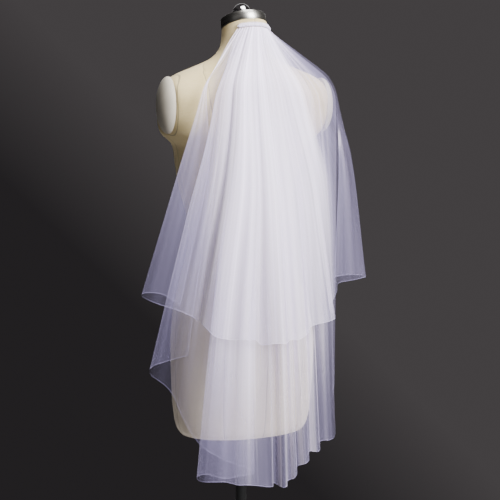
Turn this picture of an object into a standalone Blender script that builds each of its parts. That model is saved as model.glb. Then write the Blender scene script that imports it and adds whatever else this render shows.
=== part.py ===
"""Two-tier bridal veil of soft tulle, gathered on a hair comb and draped over a limbless dress form on a pole stand.

Units are metres, +Z is up and the floor is z = 0. The form faces -Y, so the veil falls down the +Y side.
+X is the form's own left. The origin is the centre of the stand's foot, on the floor.
Tables are in millimetres, because cloth and forms are measured that way, and MM turns them into metres.
"""

from collections import namedtuple
from math import cos, pi, radians, sin, sqrt

import bmesh
import bpy
import numpy as np
from mathutils import Matrix, Vector

MM = 0.001
GAP = 0.0003  # between pieces that touch

# Stand
FOOT_RADIUS = 0.160
FOOT_THICKNESS = 0.008
FOOT_EDGE = 0.002
HUB_RADIUS = 0.024
HUB_HEIGHT = 0.030
POLE_RADIUS = 0.012
FLANGE_RADIUS = 0.045
FLANGE_THICKNESS = 0.006

# Dress form
FORM_BOTTOM = 0.546
NECK_TOP = 1.428  # on the neck's own axis
NECK_RADIUS = 0.049
NECK_BACK = 0.015  # the neck stands this far behind the pole's axis
NECK_SLANT = 0.35  # rise of the neck's top face for each metre towards the back
SLANT_START = 1.378  # height where the rings of the neck begin to slant
ARMHOLE_PLANE = 0.182  # the form's sides are flat here, to seat the arm plates
FORM_SIDES = 32
CAP_RADIUS = 0.0492
CAP_HEIGHT = 0.022
KNOB_RADIUS = 0.019
KNOB_CENTRE = 0.0125  # height of the ball's centre over its flat seat
PLATE_CENTRE = (0.026, 1.262)  # across and up, on the armhole plane
PLATE_HALF_WIDTH = 0.036
PLATE_HALF_HEIGHT = 0.060
PLATE_BULGE = 0.026
PLATE_RIM = 0.003

# Horizontal sections of the form. Front and back are reaches from the pole's axis, and square is the
# superellipse's power: 2 is an ellipse, and more is squarer.
Section = namedtuple("Section", "height half_width front back square")
FORM_SECTIONS = [
    Section(546, 141, 96, 103, 2.2),
    Section(558, 149, 103, 110, 2.2),
    Section(582, 155, 108, 115, 2.2),
    Section(656, 161, 112, 122, 2.2),
    Section(736, 163, 114, 128, 2.2),
    Section(806, 157, 113, 118, 2.2),
    Section(876, 139, 106, 92, 2.2),
    Section(936, 120, 97, 70, 2.2),
    Section(976, 113, 92, 64, 2.2),
    Section(1026, 118, 97, 68, 2.2),
    Section(1086, 132, 118, 80, 2.2),
    Section(1136, 141, 124, 92, 2.2),
    Section(1176, 152, 114, 100, 2.2),
    Section(1204, 184, 104, 107, 2.3),
    Section(1236, 197, 92, 110, 2.4),
    Section(1271, 201, 76, 108, 2.4),
    Section(1296, 197, 62, 101, 2.3),
    Section(1312, 186, 50, 89, 2.2),
    Section(1326, 164, 41, 77, 2.2),
    Section(1338, 134, 36, 68, 2.2),
    Section(1350, 102, 33, 63, 2.1),
    Section(1362, 77, 31, 61, 2.0),
    Section(1378, 60, 30, 62.5, 2.0),
    Section(1396, 52, 33, 63, 2.0),
    Section(1416, 49.5, 34, 64, 2.0),
    Section(1428, 49, 34, 64, 2.0),
]

# Comb and gathered heading, wrapped round the back of the neck
GATHER_LEFT = radians(42)  # angles round the neck from the back, + to the form's left
GATHER_RIGHT = radians(-57)
GATHER_TOP = 1.425  # height of the tiers' top edges at the back of the neck
HEADING_HEIGHT = 0.010
HEADING_THICKNESS = 0.0092
HEADING_OUTLINE = [(0, 0.9), (0, 0.15), (0.08, 0), (0.94, 0), (1, 0.12), (0.86, 0.5), (0.5, 0.86), (0.12, 1)]
COMB_SPINE_RADIUS = 0.0015
COMB_TOOTH_RADIUS = 0.0007
COMB_TOOTH_LENGTH = 0.030
COMB_TEETH = 15
COMB_TOP = 1.4252
COMB_LIFT = 0.0002
COMB_CENTRE = radians(-7)
COMB_HALF_ANGLE = radians(42)

# Veil
WALL = 0.001
GATHER_PLEATS = 18
GATHER_PLEAT_DEPTH = 0.0008
GATHER_PLEAT_REACH = 0.16  # share of the fall down which the stitched pleats have died out
FALL_ROWS = [0, 0.03, 0.07, 0.115, 0.15, 0.18, 0.21, 0.24, 0.27, 0.31, 0.37, 0.48, 0.64, 0.82, 1]
COLUMNS = 90
SHEET_LINES = 96
SHEET_ROWS = 60
FOLD_GROWTH = 1.1  # power of the fall with which folds deepen
UNGATHERED = 0.6  # share of the fall by which the cloth has left its even gathers for its folds
PROFILE_SAMPLES = 72

# A tier's hem in plan, from its left free edge to its right one. Each row is one turn of a fold: how far
# it lies to the form's left and to its back, and how high its hem hangs.
Turn = namedtuple("Turn", "left back height")

# The smooth sheet that a tier's folds stand on, from its left edge to its right one. Each row is one line of
# fall: where it passes the shoulder blades, how far it stays off the form there, the share of the fall where its
# folds open, and where it meets the hem.
Line = namedtuple("Line", "share pass_left pass_back lift opens left back height")
Tier = namedtuple("Tier", "name hem sheet neck_radius")

LOWER_TIER = Tier(
    name="veil_lower_tier",
    hem=[
        Turn(182, 95, 740),
        Turn(216, 78, 728),
        Turn(255, 79, 712),
        Turn(228, 119, 677),
        Turn(170, 138, 561),
        Turn(100, 135, 513),
        Turn(38, 154, 486),
        Turn(70, 161, 486),
        Turn(97, 168, 487),
        Turn(122, 172, 487),
        Turn(144, 169, 494),
        Turn(164, 167, 501),
        Turn(184, 170, 501),
        Turn(196, 178, 498),
        Turn(189, 200, 495),
        Turn(172, 211, 495),
        Turn(149, 207, 492),
        Turn(133, 204, 490),
        Turn(124, 220, 485),
        Turn(101, 225, 484),
        Turn(77, 228, 480),
        Turn(52, 227, 474),
        Turn(31, 215, 470),
        Turn(24, 185, 471),
        Turn(7, 183, 466),
        Turn(14, 213, 463),
        Turn(-7, 208, 464),
        Turn(-16, 177, 467),
        Turn(-30, 174, 469),
        Turn(-27, 195, 474),
        Turn(-43, 186, 483),
        Turn(-49, 157, 488),
        Turn(-63, 156, 492),
        Turn(-62, 178, 496),
        Turn(-84, 169, 504),
        Turn(-88, 139, 512),
        Turn(-100, 139, 515),
        Turn(-101, 159, 514),
        Turn(-122, 150, 517),
        Turn(-125, 120, 524),
        Turn(-142, 115, 528),
        Turn(-151, 129, 528),
        Turn(-175, 112, 532),
        Turn(-193, 85, 550),
        Turn(-199, 56, 590),
        Turn(-221, 36, 646),
        Turn(-220, 15, 693),
    ],
    sheet=[
        Line(0, 128, 104, 6, 0, 213, 61, 735),
        Line(0.15, 110, 110, 8, 0, 180, 98, 670),
        Line(0.3, 80, 116, 9, 0, 142, 118, 545),
        Line(0.5, 26, 120, 8, 0, 46, 136, 490),
        Line(0.65, -26, 120, 8, 0, -34, 142, 475),
        Line(0.8, -96, 114, 8, 0.05, -112, 112, 520),
        Line(0.9, -158, 99, 9, 0.12, -182, 84, 548),
        Line(0.95, -199, 72, 9, 0.18, -212, 50, 610),
        Line(1, -219, 26, 8, 0.22, -222, 10, 690),
    ],
    neck_radius=0.0545,
)

UPPER_TIER = Tier(
    name="veil_upper_tier",
    hem=[
        Turn(206, 126, 853),
        Turn(248, 111, 877),
        Turn(283, 96, 876),
        Turn(265, 130, 862),
        Turn(216, 154, 843),
        Turn(180, 155, 824),
        Turn(184, 185, 818),
        Turn(159, 200, 794),
        Turn(126, 194, 785),
        Turn(110, 217, 786),
        Turn(81, 222, 785),
        Turn(59, 208, 771),
        Turn(32, 223, 773),
        Turn(5, 223, 772),
        Turn(-9, 202, 775),
        Turn(-28, 214, 776),
        Turn(-54, 207, 788),
        Turn(-69, 188, 796),
        Turn(-92, 193, 802),
        Turn(-122, 186, 805),
        Turn(-144, 165, 809),
        Turn(-142, 137, 823),
        Turn(-168, 116, 840),
        Turn(-192, 93, 858),
        Turn(-208, 68, 867),
        Turn(-249, 64, 871),
        Turn(-298, 44, 876),
        Turn(-265, 16, 877),
        Turn(-231, 14, 874),
    ],
    sheet=[
        Line(0, 156, 106, 15, 0, 270, 73, 876),
        Line(0.1, 142, 118, 20, 0, 235, 98, 864),
        Line(0.2, 118, 130, 24, 0, 199, 121, 846),
        Line(0.35, 74, 138, 26, 0, 140, 150, 806),
        Line(0.5, 22, 144, 26, 0, 40, 186, 777),
        Line(0.65, -34, 142, 24, 0, -44, 178, 778),
        Line(0.8, -106, 130, 18, 0.06, -128, 134, 822),
        Line(0.9, -168, 107, 13, 0.16, -196, 76, 862),
        Line(0.95, -206, 77, 13, 0.24, -226, 42, 870),
        Line(1, -228, 28, 13, 0.28, -238, 0, 876),
    ],
    neck_radius=0.0600,
)


def make_material(name, colour, roughness, metallic=0.0, alpha=1.0):
    material = bpy.data.materials.new(name)
    material.use_nodes = True
    shader = material.node_tree.nodes["Principled BSDF"]
    shader.inputs["Base Color"].default_value = (*colour, 1)
    shader.inputs["Roughness"].default_value = roughness
    shader.inputs["Metallic"].default_value = metallic
    shader.inputs["Alpha"].default_value = alpha
    return material


def add_object(name, mesh, material, collection):
    mesh.materials.clear()
    mesh.materials.append(material)
    body = bpy.data.objects.new(name, mesh)
    collection.objects.link(body)
    return body


def mesh_from_bmesh(name, bm, flat_below_degrees=30):
    mesh = bpy.data.meshes.new(name)
    bm.to_mesh(mesh)
    bm.free()
    mesh.shade_smooth()
    mesh.set_sharp_from_angle(angle=radians(flat_below_degrees))
    return mesh


def loft_rings(name, rings):
    """A closed solid through closed rings of equal length, listed from the bottom up and each anticlockwise."""
    bm = bmesh.new()
    rows = [[bm.verts.new(point) for point in ring] for ring in rings]
    count = len(rings[0])
    for low, high in zip(rows, rows[1:]):
        for k in range(count):
            n = (k + 1) % count
            bm.faces.new((low[k], low[n], high[n], high[k]))
    bm.faces.new(list(reversed(rows[0])))
    bm.faces.new(rows[-1])
    return mesh_from_bmesh(name, bm)


def turned_solid(name, profile, steps):
    """A solid of revolution about Z. The profile's (radius, height) pairs run down its outer side."""
    bm = bmesh.new()
    rows = [[bm.verts.new((0, 0, profile[0][1]))]]
    for radius, height in profile:
        angles = [2 * pi * k / steps for k in range(steps)]
        rows.append([bm.verts.new((radius * cos(a), radius * sin(a), height)) for a in angles])
    rows.append([bm.verts.new((0, 0, profile[-1][1]))])
    for k in range(steps):
        n = (k + 1) % steps
        bm.faces.new((rows[0][0], rows[1][k], rows[1][n]))
        for high, low in zip(rows[1:-1], rows[2:-1]):
            bm.faces.new((high[k], low[k], low[n], high[n]))
        bm.faces.new((rows[-1][0], rows[-2][n], rows[-2][k]))
    return mesh_from_bmesh(name, bm)


def smooth_columns(heights, values, at):
    """Values read off a smooth curve through (heights, values), flat at its ends and with no overshoot."""
    heights, values = np.array(heights, float), np.array(values, float)
    steps = np.diff(heights)
    slopes = np.diff(values) / steps
    tangents = np.zeros(len(values))
    inner = slopes[:-1] * slopes[1:] > 0
    weight_a, weight_b = 2 * steps[1:] + steps[:-1], steps[1:] + 2 * steps[:-1]
    safe_a, safe_b = np.where(inner, slopes[:-1], 1), np.where(inner, slopes[1:], 1)
    harmonic = (weight_a + weight_b) / (weight_a / safe_a + weight_b / safe_b)
    tangents[1:-1] = np.where(inner, harmonic, 0)
    tangents[0], tangents[-1] = slopes[0], slopes[-1]
    k = np.clip(np.searchsorted(heights, at, side="right") - 1, 0, len(steps) - 1)
    t = (np.asarray(at, float) - heights[k]) / steps[k]
    return (
        values[k] * (1 + 2 * t) * (1 - t) ** 2
        + tangents[k] * steps[k] * t * (1 - t) ** 2
        + values[k + 1] * t * t * (3 - 2 * t)
        + tangents[k + 1] * steps[k] * t * t * (t - 1)
    )


def form_section(height):
    """Half width, half depth, middle (towards the back) and squareness of the form at a height, in metres."""
    heights = [row.height * MM for row in FORM_SECTIONS]
    read = lambda column: smooth_columns(heights, [getattr(row, column) for row in FORM_SECTIONS], height)
    front, back = read("front") * MM, read("back") * MM
    return read("half_width") * MM, (front + back) / 2, (back - front) / 2, read("square")


def form_levels():
    """Heights of the torso's rings: each tabled section, and one halfway up each tall step."""
    heights = [row.height * MM for row in FORM_SECTIONS]
    levels = []
    for low, high in zip(heights, heights[1:]):
        levels.append(low)
        if high - low > 0.045:
            levels.append((low + high) / 2)
    return levels + [heights[-1]]


def build_torso(material, collection):
    """The padded torso: lofted rings, flat at the armholes, with the neck's top cut on a slant."""
    rings = []
    for level in form_levels():
        half_width, half_depth, middle, square = form_section(level)
        slant = NECK_SLANT * max(0.0, (level - SLANT_START) / (NECK_TOP - SLANT_START))
        ring = []
        for k in range(FORM_SIDES):
            a = 2 * pi * k / FORM_SIDES
            across = abs(cos(a)) ** (2 / square) * (1 if cos(a) >= 0 else -1) * half_width
            along = abs(sin(a)) ** (2 / square) * (1 if sin(a) >= 0 else -1) * half_depth + middle
            across = max(-ARMHOLE_PLANE, min(ARMHOLE_PLANE, across))
            ring.append((across, along, level + slant * (along - NECK_BACK)))
        rings.append(ring)
    add_object("form_torso", loft_rings("form_torso", rings), material, collection)


def neck_frame(lift):
    """Placement on the neck's slanted top face, lifted along its normal."""
    tilt = Matrix.Rotation(np.arctan(NECK_SLANT), 4, "X")
    return Matrix.Translation((0, NECK_BACK, NECK_TOP)) @ tilt @ Matrix.Translation((0, 0, lift))


def build_neck_cap(material, collection):
    """Brushed steel cap that closes the neck."""
    top, edge = CAP_HEIGHT, 0.0015
    profile = [(CAP_RADIUS - edge, top), (CAP_RADIUS, top - edge), (CAP_RADIUS, edge / 3), (CAP_RADIUS - edge / 3, 0)]
    cap = add_object("neck_cap", turned_solid("neck_cap", profile, 48), material, collection)
    cap.matrix_world = neck_frame(GAP)


def build_neck_knob(material, collection):
    """Ball knob with a flat seat, screwed down on the cap."""
    seat = np.arccos(-KNOB_CENTRE / KNOB_RADIUS)
    profile = []
    for k in range(1, 13):
        a = seat * k / 12
        profile.append((KNOB_RADIUS * sin(a), KNOB_CENTRE + KNOB_RADIUS * cos(a)))
    knob = add_object("neck_knob", turned_solid("neck_knob", profile, 28), material, collection)
    knob.matrix_world = neck_frame(GAP + CAP_HEIGHT + GAP)


def build_arm_plate(side, material, collection):
    """Domed plate that closes one armhole. Side is +1 for the form's left."""
    name = "arm_plate_left" if side > 0 else "arm_plate_right"
    profile = []
    for k in range(1, 8):
        a = pi / 2 * k / 8
        profile.append((sin(a), PLATE_RIM + (PLATE_BULGE - PLATE_RIM) * cos(a)))
    profile += [(1, PLATE_RIM), (1, 0)]
    mesh = turned_solid(name, profile, 32)
    scale = Matrix.Diagonal((PLATE_HALF_WIDTH, PLATE_HALF_HEIGHT, 1, 1))
    turn = Matrix.Rotation(side * pi / 2, 4, "Y") @ Matrix.Rotation(side * pi / 2, 4, "Z")
    mesh.transform(turn @ scale)
    plate = add_object(name, mesh, material, collection)
    plate.location = (side * (ARMHOLE_PLANE + GAP), PLATE_CENTRE[0], PLATE_CENTRE[1])


def build_stand(steel, collection):
    """Flange under the torso, pole, and a round weighted foot with a hub."""
    flange_low = FORM_BOTTOM - GAP - FLANGE_THICKNESS
    hub_top = FOOT_THICKNESS + HUB_HEIGHT
    flange = [(FLANGE_RADIUS, flange_low + FLANGE_THICKNESS), (FLANGE_RADIUS, flange_low)]
    pole = [(POLE_RADIUS, flange_low - GAP), (POLE_RADIUS, hub_top + GAP)]
    foot = [
        (HUB_RADIUS - FOOT_EDGE, hub_top),
        (HUB_RADIUS, hub_top - FOOT_EDGE),
        (HUB_RADIUS, FOOT_THICKNESS),
        (FOOT_RADIUS - FOOT_EDGE, FOOT_THICKNESS),
        (FOOT_RADIUS, FOOT_THICKNESS - FOOT_EDGE),
        (FOOT_RADIUS, 0),
    ]
    for name, profile, steps in (("pole_flange", flange, 32), ("pole", pole, 24), ("stand_foot", foot, 56)):
        add_object(name, turned_solid(name, profile, steps), steel, collection)


def on_neck(angle, radius, height):
    """A point round the neck, by its angle from the back, following the slant of the neck's top."""
    back = radius * cos(angle)
    return Vector((radius * sin(angle), NECK_BACK + back, height + NECK_SLANT * (back - NECK_RADIUS)))


def tube_mesh(name, path, radius, resolution):
    """A round wire along a path, with closed ends."""
    curve = bpy.data.curves.new(name, "CURVE")
    curve.dimensions = "3D"
    curve.bevel_depth = radius
    curve.bevel_resolution = resolution
    curve.use_fill_caps = True
    spline = curve.splines.new("POLY")
    spline.points.add(len(path) - 1)
    for point, place in zip(spline.points, path):
        point.co = (*place, 1)
    holder = bpy.data.objects.new(name, curve)
    bpy.context.scene.collection.objects.link(holder)
    bpy.context.view_layer.update()
    graph = bpy.context.evaluated_depsgraph_get()
    mesh = bpy.data.meshes.new_from_object(holder.evaluated_get(graph))
    bpy.data.objects.remove(holder)
    bm = bmesh.new()
    bm.from_mesh(mesh)
    bmesh.ops.remove_doubles(bm, verts=bm.verts, dist=0.00001)
    bm.to_mesh(mesh)
    bm.free()
    return mesh


def neck_reach(angle, height):
    """Distance from the neck's axis to its surface, at an angle from the back and a height."""
    reach = NECK_RADIUS
    for _ in range(20):
        back = reach * cos(angle)
        level = height
        for _ in range(10):
            level = height - back * NECK_SLANT * min(1, max(0, (level - SLANT_START) / (NECK_TOP - SLANT_START)))
        half_width, half_depth, middle, square = form_section(level)
        across = abs(reach * sin(angle)) / half_width
        along = abs(NECK_BACK + back - middle) / half_depth
        reach /= (across**square + along**square) ** (1 / square)
    return reach


def build_comb(material, cutters, collection):
    """Curved wire comb: a spine round the neck, with teeth that point down between neck and veil."""
    lift = GAP + COMB_SPINE_RADIUS + COMB_LIFT
    angles = [COMB_CENTRE + COMB_HALF_ANGLE * (2 * k / (COMB_TEETH - 1) - 1) for k in range(COMB_TEETH)]
    rows = {}
    for drop in (0, COMB_TOOTH_LENGTH / 2, COMB_TOOTH_LENGTH):
        rows[drop] = []
        for angle in angles:
            place = on_neck(angle, NECK_RADIUS + lift, COMB_TOP - drop)
            reach = neck_reach(angle, place.z) + lift
            rows[drop].append(Vector((reach * sin(angle), NECK_BACK + reach * cos(angle), place.z)))
    spine = tube_mesh("comb", rows[0], COMB_SPINE_RADIUS, 2)
    comb = add_object("comb", spine, material, collection)
    for k in range(COMB_TEETH):
        name = f"comb_tooth_{k + 1:02d}"
        path = [rows[drop][k] for drop in sorted(rows)]
        tooth = add_object(name, tube_mesh(name, path, COMB_TOOTH_RADIUS, 1), material, cutters)
        tooth.hide_render = True
        tooth.display_type = "WIRE"
    union = comb.modifiers.new("teeth", "BOOLEAN")
    union.operation = "UNION"
    union.operand_type = "COLLECTION"
    union.collection = cutters


def heading_ring(angle):
    """One cross-section of the gathered heading, a soft roll with a flat underside over the tiers' top edges."""
    low = GATHER_TOP + WALL / 2 + GAP
    inner = NECK_RADIUS + 2 * COMB_SPINE_RADIUS + 4 * GAP
    pucker = 1 + 0.07 * cos(angle * GATHER_PLEATS * 2 * pi / (GATHER_LEFT - GATHER_RIGHT))
    ring = []
    for out, up in HEADING_OUTLINE:
        ring.append(on_neck(angle, inner + HEADING_THICKNESS * out * pucker, low + HEADING_HEIGHT * up * pucker))
    return ring


def build_heading(material, collection):
    """The gathered heading, where both tiers are stitched together and to the comb."""
    steps = GATHER_PLEATS * 3
    angles = [GATHER_RIGHT + (GATHER_LEFT - GATHER_RIGHT) * k / steps for k in range(steps + 1)]
    mesh = loft_rings("gathered_heading", [heading_ring(a) for a in angles])
    add_object("gathered_heading", mesh, material, collection)


def spline_through(points, count):
    """Points evenly spaced along a smooth curve through all the given ones."""
    points = np.array(points, float)
    padded = np.vstack([2 * points[0] - points[1], points, 2 * points[-1] - points[-2]])
    steps = np.sqrt(np.linalg.norm(np.diff(padded, axis=0), axis=1))[:, None]
    slopes = np.diff(padded, axis=0) / steps
    wide = (padded[2:] - padded[:-2]) / (steps[:-1] + steps[1:])
    tangents = slopes[:-1] - wide + slopes[1:]
    fine = []
    for k in range(len(points) - 1):
        start, end, span = points[k], points[k + 1], steps[k + 1]
        for t in np.linspace(0, 1, 16, endpoint=False):
            ends = start * (1 + 2 * t) * (1 - t) ** 2 + end * t * t * (3 - 2 * t)
            pulls = tangents[k] * t * (1 - t) ** 2 + tangents[k + 1] * t * t * (t - 1)
            fine.append(ends + pulls * span)
    fine = np.array(fine + [points[-1]])
    along = np.concatenate([[0], np.cumsum(np.linalg.norm(np.diff(fine, axis=0), axis=1))])
    at = np.linspace(0, along[-1], count)
    return np.stack([np.interp(at, along, fine[:, axis]) for axis in range(3)], axis=1)


def form_surface_height(across, along, margin):
    """Height of the top of the form, arm plates included, over a point in plan. Zero where there is none."""
    levels = np.linspace(FORM_BOTTOM, NECK_TOP, 180)
    half_width, half_depth, middle, square = form_section(levels)
    width = np.minimum(half_width, ARMHOLE_PLANE) + margin
    inside = (np.abs(across) / (half_width + margin)) ** square + (
        np.abs(along - middle) / (half_depth + margin)
    ) ** square < 1
    inside &= np.abs(across) < width
    height = levels[inside].max() + margin if inside.any() else 0.0
    out = (abs(across) - ARMHOLE_PLANE) / (PLATE_BULGE + margin)
    side = (along - PLATE_CENTRE[0]) / (PLATE_HALF_WIDTH + margin)
    if -0.5 < out < 1 and out * out + side * side < 1:
        dome = PLATE_CENTRE[1] + (PLATE_HALF_HEIGHT + margin) * sqrt(1 - max(out, 0) ** 2 - side * side)
        height = max(height, dome)
    return height


def allowed_lift(start, places, lift):
    """How far the cloth stays off the form at places in plan: little at the neck, and its full lift further out."""
    first = 0.8 * (sqrt(start[0] ** 2 + (start[1] - NECK_BACK) ** 2) - NECK_RADIUS)
    return np.minimum(lift, first + 0.35 * np.linalg.norm(places - start[:2], axis=1))


def taut_fall(start, through, end, lift):
    """The line of the cloth from the neck to its hem, pulled straight over the form like a string."""
    stops = [(start[0], start[1], 0), (through[0], through[1], 0), (end[0], end[1], 0)]
    plan = spline_through(stops, PROFILE_SAMPLES)[:, :2]
    along = np.concatenate([[0], np.cumsum(np.linalg.norm(np.diff(plan, axis=0), axis=1))])
    heights = [form_surface_height(*place, gap) for place, gap in zip(plan, allowed_lift(start, plan, lift))]
    heights[0], heights[-1] = start[2], end[2]
    hull = []
    for s, z in zip(along, heights):
        while len(hull) > 1:
            (s0, z0), (s1, z1) = hull[-2:]
            if (s1 - s0) * (z - z0) - (z1 - z0) * (s - s0) < 0:
                break
            hull.pop()
        hull.append((s, z))
    hull = np.array(hull)
    fall = np.concatenate([[0], np.cumsum(np.linalg.norm(np.diff(hull, axis=0), axis=1))])
    at = np.linspace(0, fall[-1], SHEET_ROWS + 1)
    out, up = np.interp(at, fall, hull[:, 0]), np.interp(at, fall, hull[:, 1])
    return np.column_stack([np.interp(out, along, plan[:, 0]), np.interp(out, along, plan[:, 1]), up])


def softened(values, times):
    """Values averaged with their neighbours along the first axis, with both ends kept."""
    for _ in range(times):
        values = np.concatenate([values[:1], (values[:-2] + 2 * values[1:-1] + values[2:]) / 4, values[-1:]])
    return values


def smooth_sheet(tier):
    """The tier without its folds: points and outward normals on lines of fall, from left to right."""
    shares = [row.share for row in tier.sheet]
    lines = []
    for share in np.linspace(0, 1, SHEET_LINES + 1):
        line = Line(*[float(smooth_columns(shares, column, share)) for column in zip(*tier.sheet)])
        angle = GATHER_LEFT + (GATHER_RIGHT - GATHER_LEFT) * share
        start = np.array(on_neck(angle, tier.neck_radius, GATHER_TOP))
        end = np.array((line.left, line.back, line.height)) * MM
        through = (line.pass_left * MM, line.pass_back * MM)
        lines.append(taut_fall(start, through, end, line.lift * MM))
    sheet = softened(np.array(lines), 2)
    sheet = softened(sheet.transpose(1, 0, 2), 2).transpose(1, 0, 2)
    normals = np.cross(np.gradient(sheet, axis=1), np.gradient(sheet, axis=0))
    normals = softened(softened(normals, 6).transpose(1, 0, 2), 8).transpose(1, 0, 2)
    return sheet, normals / np.linalg.norm(normals, axis=2, keepdims=True)


def on_sheet(values, share, fall):
    """A sheet's values at a share of the way across and down, carried on straight past its edges."""
    place, row = share * SHEET_LINES, fall * SHEET_ROWS
    k = int(min(max(place, 0), SHEET_LINES - 1))
    r = int(min(max(row, 0), SHEET_ROWS - 1))
    left = values[k, r] + (values[k, r + 1] - values[k, r]) * (row - r)
    right = values[k + 1, r] + (values[k + 1, r + 1] - values[k + 1, r]) * (row - r)
    return left + (right - left) * (place - k)


def hem_on_sheet(point, sheet, normals):
    """A point of the hem over the sheet's own hem: share of the way across, and distance out."""
    shares = np.linspace(-0.2, 1.1, 521)
    edge = np.array([on_sheet(sheet, share, 1.0)[:2] for share in shares])
    nearest = int(np.argmin(np.linalg.norm(edge - point[:2], axis=1)))
    share = shares[nearest]
    normal = on_sheet(normals, share, 1.0)
    level = np.linalg.norm(normal[:2])
    return share, float(np.dot(point[:2] - edge[nearest], normal[:2]) / level**2)


def tier_grid(tier, columns=COLUMNS, rows=FALL_ROWS):
    """Mid-surface of a tier: one column of points from neck to hem for each place along the hem."""
    hem = spline_through([(row.left * MM, row.back * MM, row.height * MM) for row in tier.hem], columns + 1)
    sheet, normals = smooth_sheet(tier)
    places = np.array([hem_on_sheet(point, sheet, normals) for point in hem])
    places = softened(places, 1)
    grid = []
    for k, (fold_share, out) in enumerate(places):
        share = k / columns
        end = on_sheet(sheet, fold_share, 1.0)
        slope = (on_sheet(sheet, fold_share, 0.95) - end)[2] / 0.05
        opens = float(np.interp(fold_share, [row.share for row in tier.sheet], [row.opens for row in tier.sheet]))
        reach = 1 + (end[2] + out * on_sheet(normals, fold_share, 1.0)[2] - hem[k][2]) / slope
        angle = GATHER_LEFT + (GATHER_RIGHT - GATHER_LEFT) * share
        line = []
        for row in rows:
            fall = row * reach
            t = min(1, max(0, (fall - opens) / (UNGATHERED - opens)))
            free = t * t * (3 - 2 * t)
            across = share + (fold_share - share) * free
            point = on_sheet(sheet, across, fall)
            depth = out * max(0, (row - opens) / (1 - opens)) ** FOLD_GROWTH
            point = point + on_sheet(normals, across, fall) * depth
            pleat = GATHER_PLEAT_DEPTH * cos(2 * pi * GATHER_PLEATS * share) * max(0, 1 - row / GATHER_PLEAT_REACH)
            line.append(point + pleat * np.array((sin(angle), cos(angle), 0)))
        grid.append(line)
    return np.array(grid)


def cloth_wall(name, grid):
    """A closed wall of even thickness round a grid of points."""
    across = np.gradient(grid, axis=0)
    down = np.gradient(grid, axis=1)
    normals = np.cross(across, down)
    normals /= np.linalg.norm(normals, axis=2, keepdims=True)
    outer, inner = grid + normals * WALL / 2, grid - normals * WALL / 2
    bm = bmesh.new()
    faces = {}
    for side, points in (("outer", outer), ("inner", inner)):
        faces[side] = [[bm.verts.new(p) for p in column] for column in points]
    out, back = faces["outer"], faces["inner"]
    wide, tall = len(grid) - 1, len(grid[0]) - 1
    for k in range(wide):
        for r in range(tall):
            bm.faces.new((out[k][r], out[k + 1][r], out[k + 1][r + 1], out[k][r + 1]))
            bm.faces.new((back[k][r], back[k][r + 1], back[k + 1][r + 1], back[k + 1][r]))
    for k in range(wide):
        bm.faces.new((out[k][0], back[k][0], back[k + 1][0], out[k + 1][0]))
        bm.faces.new((out[k][tall], out[k + 1][tall], back[k + 1][tall], back[k][tall]))
    for r in range(tall):
        bm.faces.new((out[0][r], out[0][r + 1], back[0][r + 1], back[0][r]))
        bm.faces.new((out[wide][r], back[wide][r], back[wide][r + 1], out[wide][r + 1]))
    bmesh.ops.recalc_face_normals(bm, faces=bm.faces)
    return mesh_from_bmesh(name, bm, 60)


def build_tier(tier, material, collection):
    add_object(tier.name, cloth_wall(tier.name, tier_grid(tier)), material, collection)


def main():
    for old in list(bpy.data.objects):
        bpy.data.objects.remove(old)
    veil = bpy.data.collections.new("bridal_veil_on_dress_form")
    cutters = bpy.data.collections.new("comb_teeth")
    for collection in (veil, cutters):
        bpy.context.scene.collection.children.link(collection)
    linen = make_material("linen", (0.70, 0.62, 0.45), 0.85)
    plate_cloth = make_material("plate_cloth", (0.55, 0.53, 0.50), 0.7)
    steel = make_material("brushed_steel", (0.60, 0.60, 0.58), 0.3, metallic=1.0)
    black_steel = make_material("black_steel", (0.03, 0.03, 0.03), 0.45, metallic=0.3)
    chrome = make_material("chrome", (0.75, 0.75, 0.76), 0.12, metallic=1.0)
    tulle = make_material("tulle", (0.86, 0.85, 0.92), 0.8, alpha=0.35)
    build_stand(black_steel, veil)
    build_torso(linen, veil)
    build_neck_cap(steel, veil)
    build_neck_knob(chrome, veil)
    for side in (1, -1):
        build_arm_plate(side, plate_cloth, veil)
    build_comb(chrome, cutters, veil)
    build_heading(tulle, veil)
    for tier in (LOWER_TIER, UPPER_TIER):
        build_tier(tier, tulle, veil)


main()
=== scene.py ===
"""Two-tier tulle bridal veil on a limbless dress form, dressed over its solids."""

from collections import namedtuple
from math import cos, pi, radians, sin, sqrt

import bmesh
import bpy
import numpy as np
from mathutils import Matrix, Vector


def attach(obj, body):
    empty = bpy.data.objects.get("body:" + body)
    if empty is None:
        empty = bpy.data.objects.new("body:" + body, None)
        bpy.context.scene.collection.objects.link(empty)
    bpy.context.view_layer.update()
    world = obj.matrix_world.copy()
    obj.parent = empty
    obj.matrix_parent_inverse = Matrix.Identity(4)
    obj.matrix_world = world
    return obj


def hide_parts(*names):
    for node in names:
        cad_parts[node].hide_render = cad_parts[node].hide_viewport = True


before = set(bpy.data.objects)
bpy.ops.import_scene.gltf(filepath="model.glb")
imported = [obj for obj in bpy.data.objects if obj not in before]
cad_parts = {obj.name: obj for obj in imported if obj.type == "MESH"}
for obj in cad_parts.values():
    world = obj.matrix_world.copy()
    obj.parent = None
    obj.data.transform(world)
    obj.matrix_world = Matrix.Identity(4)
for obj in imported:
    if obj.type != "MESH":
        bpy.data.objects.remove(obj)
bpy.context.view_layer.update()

MM = 0.001
GAP = 0.0003
FORM_BOTTOM = 0.546
FOOT_PROFILE = [(20, 38), (22.6, 37.4), (24, 36), (24, 10.5), (26.5, 8.6), (30, 8), (156.5, 8), (159, 7)]
FOOT_PROFILE += [(160, 5), (160, 1.2), (158.8, 0)]
POLE_RADIUS = 12
FLANGE_PROFILE = [(43.6, 6), (45, 4.8), (45, 1.2), (43.6, 0)]


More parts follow.
